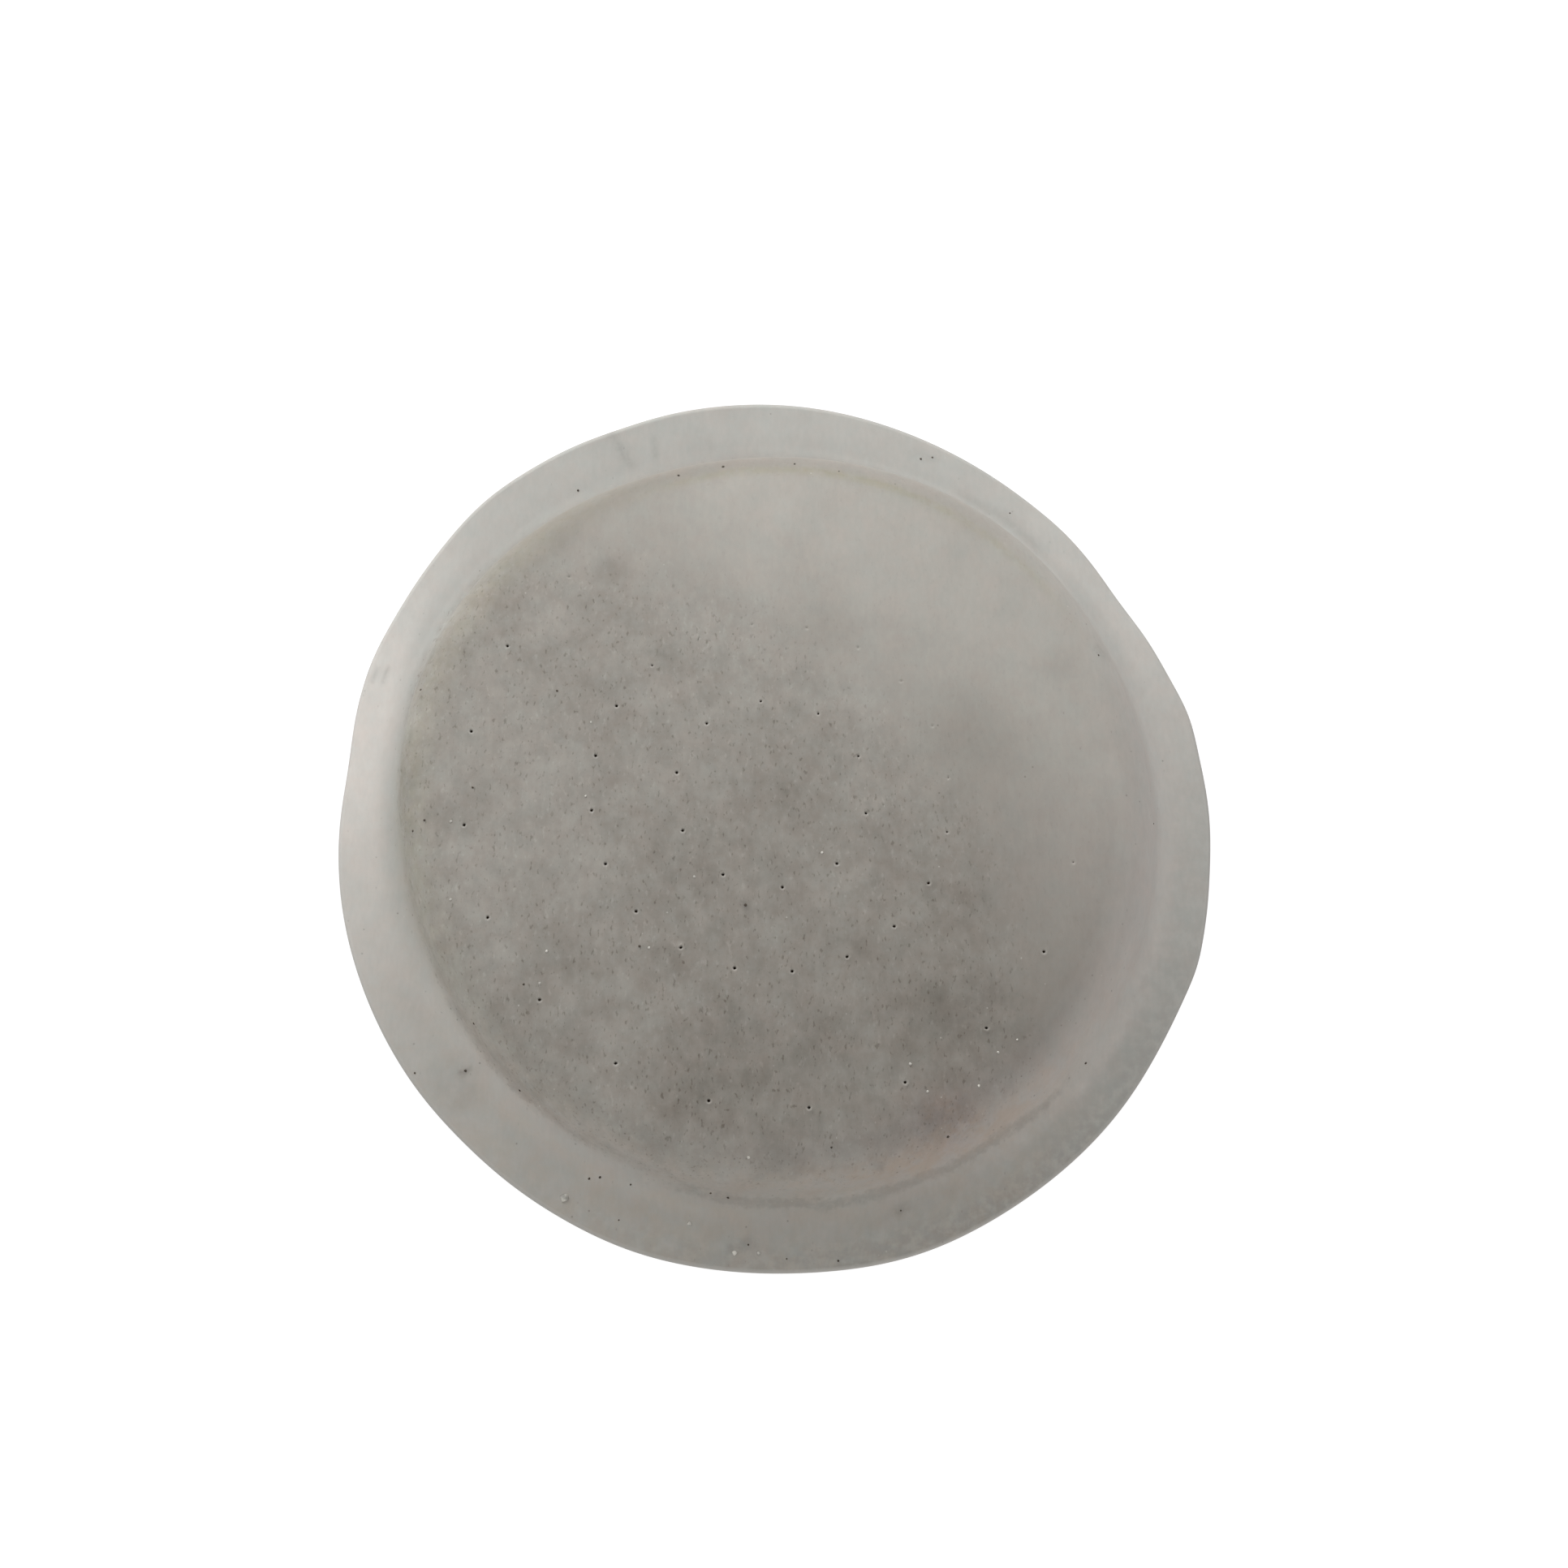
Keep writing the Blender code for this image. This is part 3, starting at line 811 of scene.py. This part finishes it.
def new_material(name):
    """A material with its node tree, its main shader, and the place on the object."""
    material = bpy.data.materials.new(name)
    material.use_nodes = True
    tree = material.node_tree
    place = add_node(tree, "ShaderNodeTexCoord").outputs["Object"]
    return material, tree, tree.nodes["Principled BSDF"], place


def paper_material(name, look):
    """Filter paper whose colour follows the painted contact with the coffee, and painted light and shade."""
    material, tree, shader, place = new_material(name)
    grain, dust = painted(tree, "grain"), painted(tree, "dust")
    fibres = placed_group(tree, "Paper fibres", paper_fibres, {"Vector": place})
    grounds = placed_group(
        tree, "Grounds behind paper", grounds_behind,
        (place, painted(tree, "contact"), painted(tree, "cover"), grain, dust))

    colour = blend(tree, painted(tree, "over_bed"), look.sealed, look.lifted)
    # Painted light: the seal and the foot are painted paler and warmer where light falls brighter on them.
    colour = blend(tree, painted(tree, "pale"), colour, look.pressed)
    colour = blend(tree, grounds["Shade"], colour, look.backed)
    blots = remap(tree, cloud(tree, place, 0.9 * MM, 3, 0.6), 0.3, 0.62, 0.35, 1.0)
    colour = tinted(tree, maths(tree, "MULTIPLY", painted(tree, "stain"), blots), colour, look.stain)
    flush_and_shade = remap(tree, cloud(tree, place, 1.7 * MM, 4, 0.65), 0.36, 0.64, 0.2, 1.15)
    flush_and_shade = maths(tree, "MULTIPLY", painted(tree, "blush"), flush_and_shade)
    # Painted shade along the sealing line at the lower foot, tinted warm like the blush.
    flush_and_shade = maths(tree, "MULTIPLY_ADD", painted(tree, "groove_shade"), 0.25, flush_and_shade)
    colour = tinted(tree, flush_and_shade, colour, look.blush)
    colour = tinted(tree, painted(tree, "rose"), colour, look.rose)
    drift = remap(tree, cloud(tree, place, 2.4 * MM, 6, 0.8), 0.3, 0.7)
    colour = tinted(tree, 1.0, colour, blend(tree, drift, COOL_DRIFT, WARM_DRIFT))

    # Painted shade along the sealing line at the lower foot, made ragged by the crumbly edge of the grounds.
    groove_shade = maths(tree, "MULTIPLY_ADD", grounds["Crumble"], 0.9, painted(tree, "groove_shade"))
    # Grey smudges darken the paper, and so does painted shade along creases, on the lower seal and at the
    # sealing line.
    marks_and_shade = maths(tree, "MULTIPLY", painted(tree, "smudge_and_shade"), blots)
    marks_and_shade = maths(tree, "MULTIPLY_ADD", remap(tree, groove_shade, 0.3, 1.05), 0.17, marks_and_shade)
    tone = maths(
        tree, "ADD", remap(tree, fibres["Clouds"], 0.25, 0.75, 0.97, 1.03),
        remap(tree, fibres["Grain"], 0.2, 0.8, -0.03, 0.03))
    tone = maths(tree, "MULTIPLY", tone, maths(tree, "SUBTRACT", 1.0, marks_and_shade))
    colour = toned(tree, colour, tone)

    drawn = stretched(tree, place, (1, 0.55, 1))
    loose = maths(tree, "MULTIPLY_ADD", grain, 0.05, maths(tree, "MULTIPLY", dust, 0.18))
    loose = maths(tree, "MULTIPLY", loose, remap(tree, cloud(tree, place, 1.8 * MM), 0.35, 0.65, 0.2, 1.9))
    for vector, spacing, size, share, strength, tint in (
        (drawn, 0.42 * MM, 0.09 * MM, 1.8, 0.24, look.grain),
        (place, 0.62 * MM, 0.12 * MM, 0.9, 0.50, look.grain),
        (drawn, 0.75 * MM, 0.07 * MM, 1.2, 0.40, look.nep),
        (place, 0.90 * MM, 0.10 * MM, 0.7, 0.60, look.nep),
    ):
        share = maths(tree, "MULTIPLY", loose, share)
        mask = placed_group(tree, "Specks", specks, (vector, spacing, size, share))["Mask"]
        colour = blend(tree, maths(tree, "MULTIPLY", mask, strength), colour, tint)
    colour = blend(tree, maths(tree, "MULTIPLY", painted(tree, "lip"), 0.2), colour, look.nep)
    # Painted light: the cut edge is made pale, most of all at the bottom of the rim.
    colour = blend(tree, painted(tree, "cut"), colour, look.lit_cut_edge)
    feed(tree, shader, {
        "Base Color": colour,
        "Roughness": remap(tree, fibres["Clouds"], 0.2, 0.8, 0.82, 0.96),
        "Specular IOR Level": 0.25,
        "Normal": bump(tree, fibres["Height"], 0.5, 0.02 * MM),
    })
    return material


def coffee_material(look):
    """Loose roasted grounds."""
    material, tree, shader, place = new_material("ground_coffee")
    distance, lot = cells(tree, place, 1 / (0.55 * MM))
    feed(tree, shader, {
        "Base Color": blend(tree, lot, look.dark, look.light),
        "Roughness": remap(tree, lot, 0, 1, 0.6, 0.95),
        "Normal": bump(tree, distance, 0.8, 0.1 * MM),
    })
    return material


def crumb_material(name, colour):
    """A plain rough material whose tone varies from lump to lump."""
    material, tree, shader, place = new_material(name)
    tone = remap(tree, cloud(tree, place, 0.5 * MM), 0.3, 0.7, 0.6, 1.25)
    feed(tree, shader, {
        "Base Color": toned(tree, colour, tone),
        "Roughness": 0.9,
        "Normal": bump(tree, cloud(tree, place, 0.1 * MM), 0.6, 0.03 * MM),
    })
    return material


def finish_sheet(context, mesh, name, node, lips):
    """Makes the piece from a sheet's inner side: its looks, what is painted on its points, its thickness."""
    sizes = context.scene.pod_sizes
    foot = foot_radius(sizes)
    mesh.normal_update()
    mesh.verts.index_update()
    lip = {vert.index: openness for vert, openness in lips.items()}
    rim = [vert for vert in mesh.verts if vert.is_boundary and vert.co.xy.length > foot]
    # Painted light: the cut edge takes its pale colour in full at the bottom of the rim, where it faces away
    # from the lamps, and not at all at the top.
    lit_edge_share = {vert.index: 0.5 - 0.5 * vert.co.y / vert.co.xy.length for vert in rim}
    sheet = add_object(name, mesh, paper_material(node, context.scene.paper_look))
    points = [vert.co for vert in sheet.data.vertices]
    for label, value_at in PAINTED.items():
        add_attribute(sheet, label, [value_at(point) for point in points])
    over_bed = [1 - smooth_step(foot - 0.6 * MM, foot + 0.5 * MM, point.xy.length) for point in points]
    add_attribute(sheet, "over_bed", over_bed)
    for label, shares in (("lip", lip), ("cut", lit_edge_share)):
        add_attribute(sheet, label, [shares.get(index, 0) for index in range(len(points))])
    solid = sheet.modifiers.new("Paper thickness", "SOLIDIFY")
    solid.thickness = sizes.paper_thickness
    solid.offset = 1
    solid.use_even_offset = True
    hand_over(sheet, node)


class FormedPaper(bpy.types.Operator):
    """Make the upper sheet, with its flat face, soft shoulder, wall, sealed rim and needle holes"""

    bl_idname = "coffee_pod.formed_paper"
    bl_label = "Formed filter paper"

    def execute(self, context):
        sizes = context.scene.pod_sizes
        edge = Vector((foot_radius(sizes) - sizes.wall_lean, sizes.face_height - sizes.paper_thickness))
        seam = sizes.seam_height + sizes.seam_gap / 2
        path = sheet_path(sizes, edge, sizes.shoulder_radius, seam, sizes.sheet_rings)
        mesh, turned = spun(sizes, path)
        for vert, (ring, angle) in turned.items():
            vert.co.z += face_relief(sizes, vert.co, path[ring].x, math.degrees(angle))
        lips = pierce(mesh, sizes)
        finish_sheet(context, mesh, "formed_paper_sheet", "formed_filter_paper", lips)
        return {"FINISHED"}


class FlatPaper(bpy.types.Operator):
    """Make the lower sheet, which the pod lies on"""

    bl_idname = "coffee_pod.flat_paper"
    bl_label = "Flat filter paper"

    def execute(self, context):
        sizes = context.scene.pod_sizes
        edge = Vector((foot_radius(sizes) - sizes.underside_slope_width, sizes.paper_thickness))
        seam = sizes.seam_height - sizes.seam_gap / 2
        path = sheet_path(sizes, edge, sizes.underside_edge_radius, seam, sizes.underside_rings)
        mesh, _ = spun(sizes, path)
        bmesh.ops.reverse_faces(mesh, faces=mesh.faces)
        finish_sheet(context, mesh, "flat_paper_sheet", "flat_filter_paper", {})
        return {"FINISHED"}


def inset(corners, distance):
    """Corners moved to the right of the way they run, so that each straight run shifts by the distance."""
    moved = []
    for index, (corner, *fillet) in enumerate(corners):
        runs = [b[0] - a[0] for a, b in zip(corners[max(index - 1, 0):], corners[max(index, 1):index + 2])]
        sides = [Vector((run.y, -run.x)).normalized() for run in runs]
        mitre = sum(sides, Vector((0, 0))).normalized()
        moved.append((corner + mitre * distance / mitre.dot(sides[0]), *fillet))
    return moved


def bed_path(sizes):
    """The bed's outline, from the middle of its top out to its edge and back under it to the middle."""
    foot, paper, gap = foot_radius(sizes), sizes.paper_thickness, sizes.coffee_clearance
    top, base = sizes.face_height - paper, paper
    corners = inset(
        [
            (Vector((0, top)), 0),
            (Vector((foot - sizes.wall_lean, top)), sizes.shoulder_radius - gap),
            (Vector((foot, sizes.seam_height)), 0.5 * MM),
            (Vector((foot - sizes.underside_slope_width, base)), sizes.underside_edge_radius - gap),
            (Vector((0, base)), 0),
        ],
        gap)
    points = [corners[0][0]]
    for (before, _), (corner, radius), (after, _) in zip(corners, corners[1:], corners[2:]):
        points += arc_at(before, corner, after, radius, 12)
    return points + [corners[-1][0]]


class GroundCoffee(bpy.types.Operator):
    """Make the bed of grounds between the sheets, with the grains of its surface"""

    bl_idname = "coffee_pod.ground_coffee"
    bl_label = "Ground coffee"

    def execute(self, context):
        sizes = context.scene.pod_sizes
        points = bed_path(sizes)
        widest = max(range(len(points)), key=lambda index: points[index].x)
        bed = bmesh.new()
        for half in (points[:widest + 1], points[:widest - 1:-1]):
            mesh, _ = spun(sizes, evenly(half, sizes.bed_rings))
            if half[0].y < sizes.seam_height:
                bmesh.ops.reverse_faces(mesh, faces=mesh.faces)
            data = bpy.data.meshes.new("bed_half")
            mesh.to_mesh(data)
            mesh.free()
            bed.from_mesh(data)
            bpy.data.meshes.remove(data)
        bmesh.ops.remove_doubles(bed, verts=bed.verts, dist=0.002 * MM)
        bed.normal_update()
        for vert in bed.verts:
            near = noise.voronoi(vert.co / (GRAIN_SPACING * MM))[0]
            vert.co -= vert.normal * min(GRAIN_SLOPE * near[0], CLEFT_DEPTH) * MM
        obj = add_object("ground_coffee_bed", bed, coffee_material(context.scene.coffee_look))
        hand_over(obj, "ground_coffee")
        return {"FINISHED"}


class LoosePieces(bpy.types.Operator):
    """Make the crumbs of coffee and the knots of fibre that stick to the upper sheet"""

    bl_idname = "coffee_pod.loose_pieces"
    bl_label = "Crumbs and fibre knots"

    def execute(self, context):
        look = context.scene.paper_look
        for name, pieces, colour, slot in (
            ("coffee_crumbs", CRUMBS, look.grain, "coffee"),
            ("fibre_knots", FIBRE_KNOTS, look.nep, "formed_paper"),
        ):
            mesh = bmesh.new()
            for x, y, width in pieces:
                self.stick_on(context, mesh, x * MM, y * MM, width * MM)
            obj = add_object(name, mesh, crumb_material(name, colour))
            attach(obj, "root")
        return {"FINISHED"}

    def stick_on(self, context, mesh, x, y, width):
        """A rough little lump, a third of it sunk into the sheet."""
        sheet = bpy.data.objects["formed_paper_sheet"]
        hit, place, normal, _ = sheet.ray_cast(
            (x, y, 20 * MM), (0, 0, -1), depsgraph=context.evaluated_depsgraph_get())
        if not hit:
            raise RuntimeError("A crumb lies beside the sheet")
        made = bmesh.ops.create_icosphere(
            mesh, subdivisions=2, radius=width / 2, matrix=Matrix.Diagonal((1, 1, 0.45, 1)))
        for vert in made["verts"]:
            vert.co *= 1 + 0.45 * noise.noise(vert.co / (0.4 * width) + Vector((x, y, 0)) / MM)
        turn = normal.to_track_quat("Z", "Y").to_matrix().to_4x4()
        lift = Matrix.Translation(place + normal * 0.05 * width)
        bmesh.ops.transform(mesh, matrix=lift @ turn, verts=made["verts"])


def around(distance, direction, elevation):
    """A place round the pod, from its distance, compass direction and elevation in degrees."""
    turn, rise = math.radians(direction), math.radians(elevation)
    flat = distance * math.cos(rise)
    return Vector((flat * math.cos(turn), flat * math.sin(turn), distance * math.sin(rise)))


def add_lamp(name, power, width, height, place, colour):
    """A softbox that faces the pod, with its width level."""
    data = bpy.data.lights.new(name, "AREA")
    data.shape = "RECTANGLE"
    data.size = width
    data.size_y = height
    data.energy = power
    data.color = colour
    lamp = bpy.data.objects.new(name, data)
    lamp.location = place
    lamp.rotation_euler = (Vector((0, 0, 5 * MM)) - place).to_track_quat("-Z", "Y").to_euler()
    bpy.context.scene.collection.objects.link(lamp)


def seen_white(tree, seen, lit):
    """Shows one shader to the camera and in reflections, and the other to the light itself."""
    path = add_node(tree, "ShaderNodeLightPath")
    glossy = maths(tree, "MAXIMUM", path.outputs["Is Glossy Ray"], path.outputs["Is Transmission Ray"])
    visible = maths(tree, "MAXIMUM", path.outputs["Is Camera Ray"], glossy)
    return add_node(tree, "ShaderNodeMixShader", (visible, lit, seen)).outputs[0]


def emptied(owner):
    """The node tree of a material or a world, with no nodes."""
    owner.use_nodes = True
    owner.node_tree.nodes.clear()
    return owner.node_tree


def floor_material(level):
    """White to the camera with a trace of shadow, evenly pale to the light, and clear from underneath."""
    material = bpy.data.materials.new("studio_floor")
    tree = emptied(material)
    pale = add_node(tree, "ShaderNodeBsdfDiffuse", {"Color": (0.25, 0.25, 0.25, 1)})
    glow = add_node(tree, "ShaderNodeEmission", {"Color": (1, 1, 1, 1), "Strength": 0.88})
    both = add_node(tree, "ShaderNodeAddShader", (pale.outputs[0], glow.outputs[0]))
    even = add_node(tree, "ShaderNodeEmission", {"Color": (1, 1, 1, 1), "Strength": level})
    upper = seen_white(tree, both.outputs[0], even.outputs[0])
    clear = add_node(tree, "ShaderNodeBsdfTransparent")
    side = add_node(tree, "ShaderNodeNewGeometry")
    one_sided = add_node(
        tree, "ShaderNodeMixShader", (side.outputs["Backfacing"], upper, clear.outputs[0]))
    add_node(tree, "ShaderNodeOutputMaterial", {"Surface": one_sided.outputs[0]})
    return material


def white_world(level):
    world = bpy.data.worlds.new("studio_world")
    tree = emptied(world)
    seen = add_node(tree, "ShaderNodeBackground", {"Color": (1, 1, 1, 1), "Strength": 1.0})
    lit = add_node(tree, "ShaderNodeBackground", {"Color": (0.97, 0.99, 1, 1), "Strength": level})
    add_node(tree, "ShaderNodeOutputWorld", {"Surface": seen_white(tree, seen.outputs[0], lit.outputs[0])})
    bpy.context.scene.world = world


class Stage(bpy.types.Operator):
    """Make the floor, the lamps, the world and the camera"""

    bl_idname = "coffee_pod.stage"
    bl_label = "Stage"

    def execute(self, context):
        setup = context.scene.stage_setup
        mesh = bmesh.new()
        bmesh.ops.create_grid(
            mesh, x_segments=1, y_segments=1, size=setup.floor_size / 2,
            matrix=Matrix.Translation((0, 0, -0.05 * MM)))
        add_object("studio_floor", mesh, floor_material(setup.floor_level))
        add_lamp("key_lamp", setup.key_power, 0.40, 0.12, around(0.20, 110, 28), setup.key_colour)
        add_lamp("fill_lamp", setup.fill_power, 0.30, 0.18, around(0.30, 292, 55), setup.fill_colour)
        white_world(setup.world_level)
        camera = bpy.data.objects.new("camera", bpy.data.cameras.new("camera"))
        camera.data.lens = setup.lens
        camera.data.sensor_width = SENSOR_WIDTH
        camera.data.clip_start = 0.005
        camera.location = [length * MM for length in CAMERA_PLACE]
        camera.rotation_euler = [math.radians(turn) for turn in CAMERA_TURN]
        context.scene.collection.objects.link(camera)
        context.scene.camera = camera
        context.scene.view_settings.view_transform = "Standard"
        return {"FINISHED"}


OPERATORS = (FormedPaper, FlatPaper, GroundCoffee, LoosePieces, Stage)
SETTINGS = {
    "pod_sizes": PodSizes, "paper_look": PaperLook, "coffee_look": CoffeeLook, "stage_setup": StageSetup,
}


class CoffeePodPanel(bpy.types.Panel):
    """Lists the settings and the makers of the pieces"""

    bl_idname = "VIEW3D_PT_coffee_pod"
    bl_label = "Coffee pod"
    bl_space_type = "VIEW_3D"
    bl_region_type = "UI"
    bl_category = "Coffee pod"

    def draw(self, context):
        for name, group in SETTINGS.items():
            box = self.layout.box()
            box.label(text=group.__name__)
            for key in group.__annotations__:
                box.prop(getattr(context.scene, name), key)
        for operator in OPERATORS:
            self.layout.operator(operator.bl_idname)


def register():
    for cls in (*SETTINGS.values(), *OPERATORS, CoffeePodPanel):
        bpy.utils.register_class(cls)
    for name, group in SETTINGS.items():
        setattr(bpy.types.Scene, name, PointerProperty(type=group))


def unregister():
    for name in SETTINGS:
        delattr(bpy.types.Scene, name)
    for cls in reversed((*SETTINGS.values(), *OPERATORS, CoffeePodPanel)):
        bpy.utils.unregister_class(cls)


def main():
    register()
    bpy.ops.coffee_pod.formed_paper()
    bpy.ops.coffee_pod.flat_paper()
    bpy.ops.coffee_pod.ground_coffee()
    bpy.ops.coffee_pod.loose_pieces()
    bpy.ops.coffee_pod.stage()


if __name__ == "__main__":
    main()
